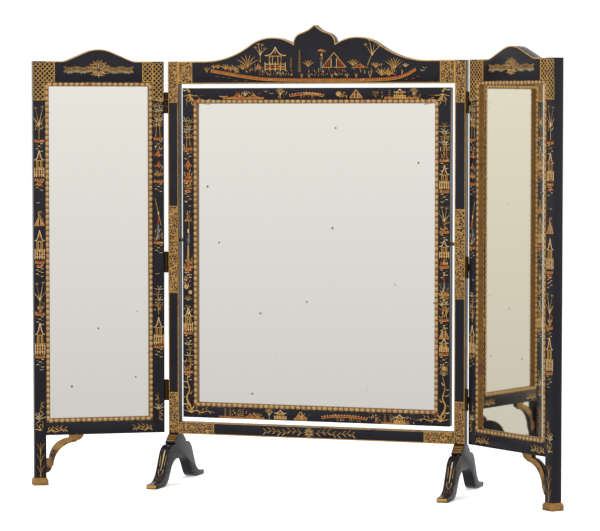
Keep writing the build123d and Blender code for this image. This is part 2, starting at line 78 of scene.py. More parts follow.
# The studio: a white paper floor that runs into a white wall, lit by soft lamps. The
# looking-glasses and the lacquer show the paler room behind the camera, which the world
# gives to glossy rays, a little darker towards the ground.
ROOM_HIGH = "#F6F3EE"
ROOM_LOW = "#C6C5C1"
ROOM_FADE = (-0.16, 0.06)
ROOM_LIGHT = 0.75
PAPER_GLOW = 0.34
FLOOR_HALF = 4.0
LAMPS = (("key", (-1.6, -2.6, 2.6), 1.8, 60),
         ("fill", (2.8, -2.2, 1.8), 2.2, 26),
         ("top", (0.2, 0.6, 2.8), 2.0, 30))
LAMPS_AIM = (0, 0, 0.35)


def linear(code):
    """An sRGB hex colour as linear red, green, blue and alpha."""
    shares = [int(code[i:i + 2], 16) / 255 for i in (1, 3, 5)]
    return [s / 12.92 if s <= 0.04045 else ((s + 0.055) / 1.055) ** 2.4 for s in shares] + [1]


def add_node(tree, kind, settings=None, links=None):
    """A shader node with its settings, and with links from other nodes' outputs."""
    node = tree.nodes.new(kind)
    for key, value in (settings or {}).items():
        if isinstance(key, int) or key in node.inputs:
            node.inputs[key].default_value = value
        else:
            setattr(node, key, value)
    for key, output in (links or {}).items():
        tree.links.new(output, node.inputs[key])
    return node


world = bpy.data.worlds.new("studio")
bpy.context.scene.world = world
world.use_nodes = True
room = world.node_tree
room.nodes.clear()
direction = add_node(room, "ShaderNodeTexCoord")
height = add_node(room, "ShaderNodeSeparateXYZ", links={0: direction.outputs["Generated"]})
climb = add_node(room, "ShaderNodeMapRange", {"From Min": ROOM_FADE[0], "From Max": ROOM_FADE[1]},
                 {"Value": height.outputs["Z"]})
seen = add_node(room, "ShaderNodeMix", {"data_type": "RGBA", 6: linear(ROOM_LOW), 7: linear(ROOM_HIGH)},
                {0: climb.outputs[0]})
ray = add_node(room, "ShaderNodeLightPath")
mirrored_room = add_node(room, "ShaderNodeBackground", links={"Color": seen.outputs[2]})
lit_room = add_node(room, "ShaderNodeBackground", {"Color": linear("#FFFFFF"), "Strength": ROOM_LIGHT})
white_wall = add_node(room, "ShaderNodeBackground", {"Color": linear("#FFFFFF"), "Strength": 1})
glossy_or_light = add_node(room, "ShaderNodeMixShader", links={
    0: ray.outputs["Is Glossy Ray"], 1: lit_room.outputs[0], 2: mirrored_room.outputs[0]})
all_rays = add_node(room, "ShaderNodeMixShader", links={
    0: ray.outputs["Is Camera Ray"], 1: glossy_or_light.outputs[0], 2: white_wall.outputs[0]})
add_node(room, "ShaderNodeOutputWorld", links={0: all_rays.outputs[0]})

paper = bpy.data.materials.new("white paper sweep")
paper.use_nodes = True
sheet = paper.node_tree
sheet.nodes.clear()
matt = add_node(sheet, "ShaderNodeBsdfDiffuse", {"Color": linear("#F4F3F1")})
glow = add_node(sheet, "ShaderNodeEmission", {"Color": linear("#FFFFFF"), "Strength": PAPER_GLOW})
both = add_node(sheet, "ShaderNodeAddShader", links={0: matt.outputs[0], 1: glow.outputs[0]})
add_node(sheet, "ShaderNodeOutputMaterial", links={0: both.outputs[0]})

floor_shape = bmesh.new()
bmesh.ops.create_grid(floor_shape, x_segments=1, y_segments=1, size=FLOOR_HALF)
floor_mesh = bpy.data.meshes.new("floor")
floor_shape.to_mesh(floor_mesh)
floor_shape.free()
floor_mesh.materials.append(paper)
floor = bpy.data.objects.new("floor", floor_mesh)
floor.visible_glossy = False
bpy.context.scene.collection.objects.link(floor)

for lamp_name, place, size, power in LAMPS:
    lamp_data = bpy.data.lights.new(lamp_name, "AREA")
    lamp_data.shape = "DISK"
    lamp_data.size = size
    lamp_data.energy = power
    lamp = bpy.data.objects.new(lamp_name, lamp_data)
    lamp.location = place
    lamp.rotation_euler = (Vector(LAMPS_AIM) - Vector(place)).to_track_quat("-Z", "Y").to_euler()
    lamp.visible_glossy = False
    bpy.context.scene.collection.objects.link(lamp)


# The frames: beech or deal, japanned. Many coats of black varnish, warm and blue-black by
# turns, are rubbed down and polished, and the arrises have worn through to the wood.
MM = 0.001
ARRIS = 0.45 * MM
NARROWEST_ARRIS = 1.3 * MM
JAPAN_BLACK = "#120C0C"
JAPAN_BLUE = "#151724"
RUBBED_EDGE = "#8A7458"
CLOUDING = 45
CHIPPING = 170
BRUSH_WAVES = 900
VARNISH_INDEX = 1.5
VARNISH_SHINE = 0.26
SMOOTH_UP_TO = 35
ARRIS_FROM = 40


def material(name, build):
    """A node material that starts empty but for its Principled shader."""
    made = bpy.data.materials.new(name)
    made.use_nodes = True
    tree = made.node_tree
    tree.nodes.clear()
    shader = add_node(tree, "ShaderNodeBsdfPrincipled")
    add_node(tree, "ShaderNodeOutputMaterial", links={0: shader.outputs[0]})
    build(tree, shader, add_node(tree, "ShaderNodeTexCoord").outputs["Object"])
    return made


def japanning(tree, shader, place):
    """Clouded black varnish that is chipped to the wood on faces marked as arris."""
    cloud = add_node(tree, "ShaderNodeTexNoise", {"Scale": CLOUDING, "Detail": 3.0}, {"Vector": place})
    black = add_node(tree, "ShaderNodeMix",
                     {"data_type": "RGBA", 6: linear(JAPAN_BLACK), 7: linear(JAPAN_BLUE)},
                     {0: cloud.outputs[0]})
    worn = add_node(tree, "ShaderNodeAttribute", {"attribute_name": "arris"})
    chips = add_node(tree, "ShaderNodeTexNoise", {"Scale": CHIPPING, "Detail": 4.0}, {"Vector": place})
    bare = add_node(tree, "ShaderNodeMapRange", {"From Min": 0.5, "From Max": 0.62},
                    {"Value": chips.outputs[0]})
    edge = add_node(tree, "ShaderNodeMath", {"operation": "MULTIPLY"},
                    {0: bare.outputs[0], 1: worn.outputs["Fac"]})
    colour = add_node(tree, "ShaderNodeMix", {"data_type": "RGBA", 7: linear(RUBBED_EDGE)},
                      {0: edge.outputs[0], 6: black.outputs[2]})
    gloss = add_node(tree, "ShaderNodeMapRange", {"To Min": 0.16, "To Max": 0.3}, {"Value": cloud.outputs[0]})
    waves = add_node(tree, "ShaderNodeTexNoise", {"Scale": BRUSH_WAVES, "Detail": 2.0}, {"Vector": place})
    skin = add_node(tree, "ShaderNodeBump", {"Strength": 0.05, "Distance": 0.0004},
                    {"Height": waves.outputs[0]})
    shader.inputs["IOR"].default_value = VARNISH_INDEX
    shader.inputs["Specular IOR Level"].default_value = VARNISH_SHINE
    tree.links.new(colour.outputs[2], shader.inputs["Base Color"])
    tree.links.new(gloss.outputs[0], shader.inputs["Roughness"])
    tree.links.new(skin.outputs[0], shader.inputs["Normal"])


japanned = material("japanned wood, black varnish", japanning)


def piece(name, shape, place, body, finishes):
    """Makes a bmesh into a piece that rides on a body, with its faces shaded smooth."""
    for edge in shape.edges:
        edge.smooth = len(edge.link_faces) == 2 and edge.calc_face_angle() < math.radians(SMOOTH_UP_TO)
    for face in shape.faces:
        face.smooth = True
    mesh = bpy.data.meshes.new(name)
    shape.to_mesh(mesh)
    shape.free()
    mesh.transform(place)
    for finish in finishes:
        mesh.materials.append(finish)
    made = bpy.data.objects.new(name, mesh)
    bpy.context.scene.collection.objects.link(made)
    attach(made, body)
    return made


def rounded(node, finishes, shortest=NARROWEST_ARRIS, arris=ARRIS):
    """A copy of a CAD piece with its arrises rubbed round, which stands for that piece."""
    shape = bmesh.new()
    shape.from_mesh(frame["nodes"][node].data)
    bmesh.ops.remove_doubles(shape, verts=shape.verts, dist=MM / 1000)
    bmesh.ops.dissolve_limit(shape, angle_limit=math.radians(1), verts=shape.verts, edges=shape.edges)
    worn = shape.faces.layers.float.new("arris")
    arrises = [edge for edge in shape.edges if len(edge.link_faces) == 2
               and edge.calc_face_angle() > math.radians(ARRIS_FROM) and edge.calc_length() > shortest]
    rubbed = bmesh.ops.bevel(shape, geom=arrises, offset=arris, segments=2, profile=0.5,
                             affect="EDGES", clamp_overlap=True, material=-1)
    for face in rubbed["faces"]:
        face[worn] = 1
    made = piece(node + "_wood", shape, Matrix(), frame["nodes"][node]["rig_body"], finishes)
    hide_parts(node)
    return made


def refinish(node, finish):
    """A CAD piece that stays as it is gets one finish."""
    node.data.materials.clear()
    node.data.materials.append(finish)


SIDES = ("left", "right")
for side in SIDES:
    for part in ("post", "wing_inner_stile", "wing_outer_stile", "wing_bottom_rail", "wing_top_rail"):
        rounded(f"{side}_{part}", [japanned])
    rounded(f"{side}_trestle_foot", [japanned], shortest=0, arris=0.3 * MM)
for part in ("crest_rail", "bottom_rail", "mirror_left_stile", "mirror_right_stile",
             "mirror_top_rail", "mirror_bottom_rail"):
    rounded(part, [japanned])


# Gilding: shell gold and gold leaf over red bole on the carved slips, brackets and blocks,
# rubbed thin on the high places and brown in the hollows.
GOLD_BRIGHT = "#D9AE62"
GOLD_DEEP = "#946830"
BOLE = "#6E3424"


def gilding(tree, shader, place, bright=GOLD_BRIGHT, deep=GOLD_DEEP, under=BOLE, bare_from=0.56):
    """Leaf in two tones, rubbed through to what lies under it above a level of noise."""
    tone = add_node(tree, "ShaderNodeTexNoise", {"Scale": 150.0, "Detail": 4.0}, {"Vector": place})
    leaf = add_node(tree, "ShaderNodeMix", {"data_type": "RGBA", 6: linear(deep), 7: linear(bright)},
                    {0: tone.outputs[0]})
    rub = add_node(tree, "ShaderNodeTexNoise", {"Scale": 60.0, "Detail": 6.0}, {"Vector": place})
    bare = add_node(tree, "ShaderNodeMapRange", {"From Min": bare_from, "From Max": bare_from + 0.12},
                    {"Value": rub.outputs[0]})
    colour = add_node(tree, "ShaderNodeMix", {"data_type": "RGBA", 7: linear(under)},
                      {0: bare.outputs[0], 6: leaf.outputs[2]})
    metal = add_node(tree, "ShaderNodeMapRange", {"To Min": 0.75, "To Max": 0.1}, {"Value": bare.outputs[0]})
    dull = add_node(tree, "ShaderNodeMapRange", {"To Min": 0.32, "To Max": 0.5}, {"Value": tone.outputs[0]})
    tree.links.new(colour.outputs[2], shader.inputs["Base Color"])
    tree.links.new(metal.outputs[0], shader.inputs["Metallic"])
    tree.links.new(dull.outputs[0], shader.inputs["Roughness"])


worn_gilt = material("water gilding, rubbed to the bole",
                     lambda *shader: gilding(*shader, "#BC9152", "#735028", "#3A2218", 0.47))
# Darker browned gilt for the slips under the beads: partly the gilt's own brown, partly painted shade in the
# grooves and on the slips' sides.
slip_gilt_with_groove_shade = material("water gilding, browned, with painted groove shade", lambda *shader: gilding(*shader, "#A07840", "#5E4020"))
for side in SIDES:
    rounded(f"{side}_wing_block_foot", [worn_gilt])
# The slips take the darker gilt that also paints the shade in their grooves.
for name, node in frame["nodes"].items():
    if name.endswith("slip"):
        refinish(node, slip_gilt_with_groove_shade)


# The looking-glasses: plate silvered behind. The silver is a little hazy and has dark
# foxing in specks, and the right side glass is tinted cream as a painted warm reflection.
SILVER = "#FBFAF7"
# Cream-tinted silver for the right side glass: a painted reflection of a warm wall and warm light.
SILVER_WITH_PAINTED_WARM_REFLECTION = "#F7F3E2"
FOXED = "#8A8474"
SPECKS = 26


def silvering(tree, shader, place, silver=SILVER):
    specks = add_node(tree, "ShaderNodeTexVoronoi", {"Scale": SPECKS}, {"Vector": place})
    fox = add_node(tree, "ShaderNodeMapRange", {"From Min": 0.06, "From Max": 0.035},
                   {"Value": specks.outputs[0]})
    colour = add_node(tree, "ShaderNodeMix", {"data_type": "RGBA", 6: linear(silver), 7: linear(FOXED)},
                      {0: fox.outputs[0]})
    shader.inputs["Metallic"].default_value = 1
    shader.inputs["Roughness"].default_value = 0.02
    tree.links.new(colour.outputs[2], shader.inputs["Base Color"])


looking_glass = material("silvered plate glass", silvering)
# The right side glass gets the cream-tinted silver, a painted warm reflection.
painted_cream_reflection = material("silvered plate glass, yellowed", lambda *shader: silvering(*shader, SILVER_WITH_PAINTED_WARM_REFLECTION))
refinish(frame["nodes"]["mirror_glass"], looking_glass)
refinish(frame["nodes"]["left_wing_glass"], looking_glass)
refinish(frame["nodes"]["right_wing_glass"], painted_cream_reflection)


# The carved slips: pine, cut with a gouge into one row of plump beads that runs round each
# sight, gessoed and gilt. The slip under the beads has a darker browned gilt, partly its own
# brown and partly painted shade on its sides and in the grooves between beads.
BEAD_PITCH = 8.5
BEAD_LENGTH = 7.6
BEAD_WIDTH = 5.6
BEAD_DEPTH = 3.2
BEAD_SUNK = 0.7
MITRE = 6.2
FRONT = -7.9
HINGE_LINE_X = 238.65
HINGE_LINE_Y = -9.1
BEHIND_HINGE_LINE = 1.2
FOLD = {"left_wing": 31.7, "right_wing": -37.9}


def facing(body):
    """A body's front face in millimetres: to the right, up, and out towards the looker."""
    face = Matrix(((1, 0, 0, 0), (0, 0, -1, 0), (0, 1, 0, 0), (0, 0, 0, 1)))
    if body not in FOLD:
        return Matrix.Scale(MM, 4) @ Matrix.Translation((0, FRONT, 0)) @ face
    hinge = Matrix.Translation((math.copysign(HINGE_LINE_X, -FOLD[body]), HINGE_LINE_Y, 0))
    turned = hinge @ Matrix.Rotation(math.radians(FOLD[body]), 4, "Z")
    return Matrix.Scale(MM, 4) @ turned @ Matrix.Translation((0, BEHIND_HINGE_LINE, 0)) @ face


def gesso_gilding(tree, shader, place):
    gilding(tree, shader, place, "#DDBF8E", "#A57B48", "#8A4A2C", 0.6)
    shader.inputs["Specular IOR Level"].default_value = 0.6


beaded = material("gilding over gesso, carved beads", gesso_gilding)
for name, node in frame["nodes"].items():
    if not name.endswith("slip"):
        continue
    plane = facing(node["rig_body"])
    corners = [plane.inverted() @ vertex.co for vertex in node.data.vertices]
    low = [min(corner[i] for corner in corners) for i in range(3)]
    high = [max(corner[i] for corner in corners) for i in range(3)]
    long_way = 1 if high[1] - low[1] > high[0] - low[0] else 0
    run = high[long_way] - low[long_way] - MITRE
    count = round(run / BEAD_PITCH)
    beads = bmesh.new()
    for i in range(count):
        bead = bmesh.ops.create_uvsphere(beads, u_segments=8, v_segments=5, radius=0.5)["verts"]
        spot = Vector(((low[0] + high[0]) / 2, (low[1] + high[1]) / 2, high[2] - BEAD_SUNK))
        spot[long_way] = low[long_way] + MITRE / 2 + (i + 0.5) * run / count
        size = [BEAD_WIDTH, BEAD_WIDTH, BEAD_DEPTH]
        size[long_way] = BEAD_LENGTH
        bmesh.ops.scale(beads, vec=size, verts=bead)
        bmesh.ops.translate(beads, vec=spot, verts=bead)
    piece(name + "_beads", beads, plane, node["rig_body"], [beaded])


# The pierced brackets in the corners of leg and rail: sawn from thin wood, gilt on the
# face and on its rubbed arrises, and left black on the sawn edges.
for side in SIDES:
    bracket = rounded(f"{side}_wing_bracket", [worn_gilt, japanned], shortest=0)
    outward = (facing(f"{side}_wing").to_3x3() @ Vector((0, 0, 1))).normalized()
    for face in bracket.data.polygons:
        face.material_index = 0 if face.normal.dot(outward) > 0.2 else 1


# The japanner's ornament: size laid on with a fine brush and dusted with shell gold, which
# stands a little proud of the varnish, with touches of vermilion, pale gold and slate.
RELIEF = 0.5
FULLEST = 2.0
WASH = 0.12
BRUSH = 1.2
STAND_REACH = (-240, 240, 0, 700)
TONES = {"gold": ("#E8BE6C", "#B98540", "#8A5A2C"),
         "pale": ("#FBEAC0", "#E2C07C", "#B08848"),
         "brown": ("#A97C42", "#7C5426", "#4E3418"),
         "red": ("#C4562C", "#93361C", "#C98848"),
         "slate": ("#8FA3AC", "#5D6E7C", "#39424E")}
PAINTS = {}
for name, tones in TONES.items():
    PAINTS[name] = material(f"{name} japanner's size paint",
                            lambda *shader, tones=tones: gilding(*shader, *tones))


def swelling(form, share):
    """How full a stroke of a form is at a share of its length."""
    if form == "tail":
        return 1 - 0.75 * share
    if form == "leaf":
        return 0.2 + 3.2 * share * (1 - share)
    return 1


def painted(name, strokes, body, over=None, reach=STAND_REACH):
    """Brush strokes on a front face: paint, width in mm, form, and points.

    They lie over a shape if one is given, and stay within reach: left, right, low and high.
    """
    drawing = bpy.data.curves.new(name, "CURVE")
    drawing.dimensions = "3D"
    drawing.bevel_depth = 0.5
    drawing.bevel_resolution = 0
    drawing.resolution_u = 3
    drawing.use_fill_caps = True
    for paint in PAINTS.values():
        drawing.materials.append(paint)
    for paint, width, form, points in strokes:
        stroke = drawing.splines.new("NURBS")
        stroke.points.add(len(points) - 1)
        for i, (u, v) in enumerate(points):
            stroke.points[i].co = (u, v, 0, 1)
            stroke.points[i].radius = width * swelling(form, i / (len(points) - 1)) * BRUSH
        stroke.order_u = 2 if form == "sharp" or len(points) < 3 else 3
        stroke.use_endpoint_u = True
        stroke.material_index = list(PAINTS).index(paint)
    mesh = bpy.data.meshes.new_from_object(bpy.data.objects.new(name, drawing))
    mesh.transform(Matrix.Diagonal((1, 1, RELIEF, 1)))
    plane = facing(body)
    inward = plane.to_3x3() @ Vector((0, 0, -1))
    thin = (PAINTS["red"], PAINTS["slate"])
    washes = [face.vertices for face in mesh.polygons if mesh.materials[face.material_index] in thin]
    for spot in {spot for wash in washes for spot in wash}:
        mesh.vertices[spot].co.z = min(mesh.vertices[spot].co.z, WASH)
    for vertex in mesh.vertices:
        vertex.co.x = min(max(vertex.co.x, reach[0]), reach[1])
        vertex.co.y = min(max(vertex.co.y, reach[2]), reach[3])
        vertex.co.z = min(vertex.co.z, RELIEF * FULLEST / 2)
        if over:
            hit = over.ray_cast(plane @ Vector((vertex.co.x, vertex.co.y, 200)), inward)[0]
            vertex.co.z += (plane.inverted() @ hit).z if hit else 0
    mesh.transform(plane)
    made = bpy.data.objects.new(name, mesh)
    bpy.context.scene.collection.objects.link(made)
    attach(made, body)


def at(strokes, u, v, size=1.0, flip=False):
    """A motif moved to its place, made larger or smaller, and turned to face the other way."""
    way = -size if flip else size
    return [(paint, width * min(size, 1.3), form, [(u + x * way, v + y * size) for x, y in points])
            for paint, width, form, points in strokes]


def line(u0, v0, u1, v1, width=1.3, paint="gold"):
    """One straight stroke."""
    return [(paint, width, "even", [(u0, v0), (u1, v1)])]


def fan(count, spread, reach, paint="gold", width=1.5):
    """Leaves that spring from one place, drooping a little to the sides."""
    leaves = []
    for i in range(count):
        turn = math.radians(spread * (i / (count - 1) - 0.5))
        tip = (reach * math.sin(turn) * 1.1, reach * math.cos(turn))
        leaves.append((paint, width, "leaf", [(0, 0), (tip[0] * 0.4, tip[1] * 0.7), tip]))
    return leaves


def clump(width, height, seed, count=16):
    """Close foliage, dabbed on: short strokes of several paints, thickest low down."""
    dice = random.Random(seed)
    dabs = []
    for i in range(count):
        u, v = dice.uniform(-0.5, 0.5) * width, dice.random() ** 1.4 * height
        lean = dice.uniform(-1.6, 1.6)
        paint = dice.choice(("gold", "gold", "pale", "brown", "brown", "red"))
        width_there = dice.uniform(1.0, 1.9)
        tip = (u + lean * 1.3, v + dice.uniform(2.6, 4.6))
        dabs.append((paint, width_there, "leaf", [(u, v), (u + lean, v + 2), tip]))
    return dabs


def bamboo(height, bend=2.0):
    """A cane with sprays of leaves all the way up."""
    stem = [("gold", 1.0, "tail", [(0, 0), (bend, height * 0.5), (0, height)])]
    joints = int(height / 9)
    for i in range(max(3, joints)):
        level = height * (0.35 + 0.65 * i / max(2, joints - 1))
        stem += at(fan(4, 150, 7.5, "pale" if i % 2 else "gold", 1.3), (-1) ** i * 1.2, level)
    return stem


def cypress(height):
    """A slim tree with short tiers that turn up at their ends."""
    tiers = [("brown", 1.0, "tail", [(0, 0), (0, height * 0.6), (0, height)])]
    for i in range(int(height / 3)):
        level = 2 + i * 3
        wide = 2.8 * (1 - 0.7 * level / height)
        tiers.append(("gold", 1.3, "leaf", [(-wide, level + 1.6), (0, level - 0.4), (wide, level + 1.6)]))
    return tiers


def tree(height, lean=0.0):
    """A bare forked tree with tufts at the ends of its branches."""
    forks = [("gold", 1.5, "tail", [(0, 0), (lean * 0.5, height * 0.3), (lean, height * 0.45)])]
    for i, (x, y) in enumerate(((-0.42, 0.82), (-0.16, 1.0), (0.16, 0.96), (0.42, 0.74))):
        tip = (lean + x * height * 0.7, height * y)
        forks.append(("pale" if i % 2 else "gold", 1.3, "tail",
                      [(lean, height * 0.4), (lean + x * height * 0.2, height * 0.6), tip]))
        forks += at(fan(3, 110, 3.6, "gold", 1.3), *tip)
    return forks


def rock(width, height):
    """Heaped rocks: vermilion masses edged and hatched with gold."""
    heap = [("red", height * 0.6, "tail", [(0, 0), (width * 0.05, height * 0.6), (0, height * 1.1)])]
    for x, y, wide in ((-0.3, 0.3, 0.5), (0.25, 0.35, 0.55), (0, 0.75, 0.5)):
        left, right, top = width * (x - wide / 2), width * (x + wide / 2), height * y
        middle = (left + right) / 2
        heap.append(("red", 2.2, "leaf", [(left, top * 0.6), (middle, top * 1.2), (right, top * 0.6)]))
        heap.append(("gold", 0.8, "even", [(left, top * 0.3), (middle, top * 1.9), (right, top * 0.3)]))
    return heap


def bank(points, depth=3.0):
    """The near shore of an island: a vermilion ribbon ribbed with gold, with gold edges."""
    low = [(u, v - depth / 2) for u, v in points]
    high = [(u, v + depth / 2) for u, v in points]
    shore = [("red", depth, "even", points), ("gold", 0.8, "even", low), ("brown", 0.8, "even", high)]
    for (u0, v0), (u1, v1) in zip(points, points[1:]):
        ribs = max(1, int(abs(u1 - u0) / 3.2))
        for i in range(ribs):
            share = (i + 0.5) / ribs
            u, v = u0 + (u1 - u0) * share, v0 + (v1 - v0) * share
            shore.append(("gold", 1.3, "even", [(u - 0.4, v - depth * 0.4), (u + 0.4, v + depth * 0.45)]))
    return shore


def pavilion(width, height):
    """A garden pavilion: a curled roof on posts over a railed terrace."""
    half = width / 2
    roof = height * 0.62
    ridge = height * 0.9
    house = [("pale", 1.3, "even", [(-half, roof + 1), (-half * 0.55, roof), (-1, ridge), (0, height)]),
             ("pale", 1.3, "even", [(half, roof + 1), (half * 0.55, roof), (1, ridge), (0, height)]),
             ("red", 2.4, "tail", [(0, height * 0.86), (0, roof + 2)]),
             ("gold", 1.2, "even", [(-half * 0.6, roof), (half * 0.6, roof)])]
    for x in (-0.55, -0.25, 0.25, 0.55):
        house.append(("gold", 1.3, "even", [(x * half, roof), (x * half, height * 0.3)]))
    for x in (-0.95, -0.5, 0, 0.5, 0.95):
        house.append(("pale", 1.2, "even", [(x * half, height * 0.36), (x * half, 0)]))
    for level in (0.08, 0.18, 0.28):
        house.append(("red" if level == 0.18 else "gold", 1.8, "even",
                      [(-half * 0.95, height * level), (half * 0.95, height * level)]))
    return house


def hut(width, height):
    """A fisherman's hut of reed with a wide low roof."""
    half = width / 2
    house = [("gold", 1.3, "sharp", [(-half, 0), (-half * 0.3, height * 0.7), (0, height)]),
             ("gold", 1.3, "sharp", [(half, 0), (half * 0.3, height * 0.7), (0, height)]),
             ("gold", 1.1, "even", [(-half, 0), (half, 0)])]
    for i in range(1, 4):
        x = half * (0.28 + 0.18 * i)
        eave = height * 0.7 * (1 - i * 0.2)
        for way in (-1, 1):
            house.append(("red", 1.3, "even", [(way * x, 0.8), (way * x * 0.75, eave)]))
    for x in (-0.16, 0.16):
        house.append(("pale", 1.1, "even", [(x * half * 1.4, 0), (x * half * 1.4, height * 0.62)]))
    return house


def person(height, coat="slate", skirt="gold", parasol=False):
    """A figure of a pattern-book kind: a coat, a skirt, and a plain small head."""
    body = [(coat, 3.4, "leaf", [(0, height * 0.42), (0.4, height * 0.62), (0, height * 0.84)]),
            (coat, 1.3, "tail", [(0.3, height * 0.74), (-2.2, height * 0.6), (-3.6, height * 0.7)]),
            (skirt, 2.2, "tail", [(0, height * 0.52), (-0.6, height * 0.25), (-1.4, 0)]),
            (skirt, 2.2, "tail", [(0.4, height * 0.52), (1, height * 0.25), (1.5, 0)]),
            ("pale", 2.2, "even", [(0, height * 0.86), (0, height * 0.96)])]
    if parasol:
        top = height * 1.2
        body += [("gold", 0.8, "even", [(2, height * 0.6), (1.2, top)]),
                 ("red", 2.8, "leaf", [(-5.5, top - 1), (0.5, top + 2.6), (7, top - 1.6)]),
                 ("gold", 0.9, "even", [(-5.5, top - 1.4), (0.6, top - 0.4), (7, top - 2)])]
    return body


def bird(size):
    """A bird far off: two wings."""
    return [("pale", 1.1, "leaf", [(-size, size * 0.7), (-size * 0.3, size * 0.2), (0, 0)]),
            ("pale", 1.1, "leaf", [(size, size * 0.5), (size * 0.4, size * 0.3), (0, 0)])]


def blossom(size):
    """A chrysanthemum seen from the front."""
    petals = []
    for i in range(12):
        turn = math.radians(30 * i)
        near = (size * 0.2 * math.cos(turn), size * 0.2 * math.sin(turn))
        far = (size * math.cos(turn), size * math.sin(turn))
        middle = ((near[0] + far[0]) / 2, (near[1] + far[1]) / 2)
        petals.append(("pale" if i % 2 else "gold", 2.0, "leaf", [near, middle, far]))
    return petals + [("red", size * 0.34, "even", [(-0.6, 0), (0.6, 0)])]


def vine(points, leaf=5.0):
    """A waving stem with pairs of leaves."""
    stem = [("brown", 1.0, "even", points)]
    for (u0, v0), (u1, v1) in zip(points, points[1:]):
        way = math.copysign(1, u1 - u0)
        for share in (0.2, 0.7):
            u, v = u0 + (u1 - u0) * share, v0 + (v1 - v0) * share
            tip = u + way * leaf
            stem.append(("gold", 1.4, "leaf",
                         [(u, v), (u + way * leaf * 0.5, v + leaf * 0.6), (tip, v + leaf * 0.8)]))
            stem.append(("pale", 1.4, "leaf",
                         [(u, v), (u + way * leaf * 0.6, v - leaf * 0.5), (tip, v - leaf * 0.8)]))
    return stem


# The crest's garden island, with its pavilion, trees, boatman's hut and a figure under a
# parasol, over one long ribbed shore, with two birds off its right end.
TUFTS = ((-161, 634, 0.9), (-154, 634, 1.0), (-142, 632, 1.4), (-134, 631, 1.0), (-126, 630, 1.2),
         (-114, 632, 1.5), (-9.5, 636, 1.6), (61, 637, 1.6), (97, 634, 1.3), (106, 622, 1.8),
         (117, 622, 1.6))
RIPPLES = ((-158, 622), (-148, 621), (-139, 620), (-128, 616), (-112, 615), (142, 617), (152, 618),
           (160, 621))
shore = [(-166, 631), (-120, 623), (-78, 617), (0, 616), (90, 616), (125, 618), (145, 623), (159, 632)]
island = bank(shore, 4.2)
for u, v, size in TUFTS:
    island += at(fan(5, 100, 6.5), u, v, size)
island += at(fan(6, 110, 19, "gold", 1.8), -106, 636)
island += at(tree(26), -86, 643)
island += at(rock(11, 8), -89, 633)
island += at(pavilion(34, 36), -62, 630)
island += at(cypress(17), -37, 634) + at(cypress(35), -23.4, 627)
island += at(person(24, "brown", "slate", True), 11, 632)
island += at(hut(38, 22), 31, 635)
island += at(rock(24, 8), 72, 633)
island += at(tree(36, 7), 84, 638)
island += at(fan(7, 90, 18, "gold", 1.7), 125, 631)
island += at(rock(18, 6), 118, 623) + at(fan(4, 100, 6, "pale"), 143, 635) + at(fan(3, 60, 9), -172, 628)
for u in (-20, -8, 28, 52, 66, 88):
    island += at(fan(3, 40, 7, "gold", 1.2), u, 619)
for u, v in RIPPLES:
    island += line(u, v, u + 5, v, 0.8, "brown")
island += at(bird(3.5), 169, 629) + at(bird(3.5), 172, 633)


# Gold lines on the stand, along both front arrises of the posts, along the rails and at the
# ends of the pebbled panels. A flower with a vine grows along the lower rail, and dabbed
# leaves fill the crest's shore.
POST_EDGES = (219.9, 234.8)
POST_LEVELS = (138, 292, 424, 583)
CREST_PANEL_END = 196.6
LOWER_PANEL_END = {-1: 162, 1: 173}
for side in (-1, 1):
    inner, outer = side * POST_EDGES[0], side * POST_EDGES[1]
    for edge in (inner, outer):
        island += line(edge, 76, edge, 644)
    for level in POST_LEVELS:
        island += line(inner, level, outer, level)
    island += line(side * CREST_PANEL_END, 612.5, side * CREST_PANEL_END, 643.5)
    island += line(side * LOWER_PANEL_END[side], 76, side * LOWER_PANEL_END[side], 92.6)
for level in (75.9, 92.6, 611.9):
    island += line(-218, level, 218, level)
flower = (-8.3, 83.8)
island += at(blossom(8), *flower)
for side in (-1, 1):
    island += vine([(flower[0] + side * 9, 83), (flower[0] + side * 26, 87), (flower[0] + side * 42, 81),
                    (flower[0] + side * 58, 86), (flower[0] + side * 72, 82)], 6)
for u, v, wide, tall in ((-62, 622, 60, 8), (20, 622, 60, 9), (84, 625, 46, 14), (-112, 627, 60, 10),
                         (122, 624, 34, 12)):
    island += at(clump(wide, tall, u, int(wide * 0.7)), u, v)
painted("stand_gold_and_vermilion", island, "stand")


# The pebbled panels: a net of gold lines with the lacquer in its meshes, each 3.6 mm across,
# drawn freehand on the posts, the ends of the crest and the ends of the lower rail.
PEBBLE = 3.6
PEBBLE_LINE = 0.105
PEBBLE_BLUR = 0.04
PANEL_SKIN = 0.25
POST_PANELS = ((76.5, 138), (292, 424), (583, 644.2))


def pebbling(tree, shader, place):
    net = add_node(tree, "ShaderNodeTexVoronoi", {"feature": "DISTANCE_TO_EDGE", "Scale": 1 / (PEBBLE * MM),
                                                  "Randomness": 0.85}, {"Vector": place})
    drawn = add_node(tree, "ShaderNodeMapRange",
                     {"From Min": PEBBLE_LINE + PEBBLE_BLUR, "From Max": PEBBLE_LINE - PEBBLE_BLUR},
                     {"Value": net.outputs["Distance"]})
    patches = add_node(tree, "ShaderNodeTexNoise", {"Scale": 120.0, "Detail": 2.0}, {"Vector": place})
    gold = add_node(tree, "ShaderNodeMix", {"data_type": "RGBA", 6: linear("#875828"), 7: linear("#D6A860")},
                    {0: patches.outputs[0]})
    colour = add_node(tree, "ShaderNodeMix", {"data_type": "RGBA", 6: linear(JAPAN_BLACK)},
                      {0: drawn.outputs[0], 7: gold.outputs[2]})
    metal = add_node(tree, "ShaderNodeMath", {"operation": "MULTIPLY", 1: 0.6}, {0: drawn.outputs[0]})
    proud = add_node(tree, "ShaderNodeBump", {"Strength": 0.6, "Distance": 0.0003},
                     {"Height": drawn.outputs[0]})
    shader.inputs["Roughness"].default_value = 0.36
    tree.links.new(colour.outputs[2], shader.inputs["Base Color"])
    tree.links.new(metal.outputs[0], shader.inputs["Metallic"])
    tree.links.new(proud.outputs[0], shader.inputs["Normal"])


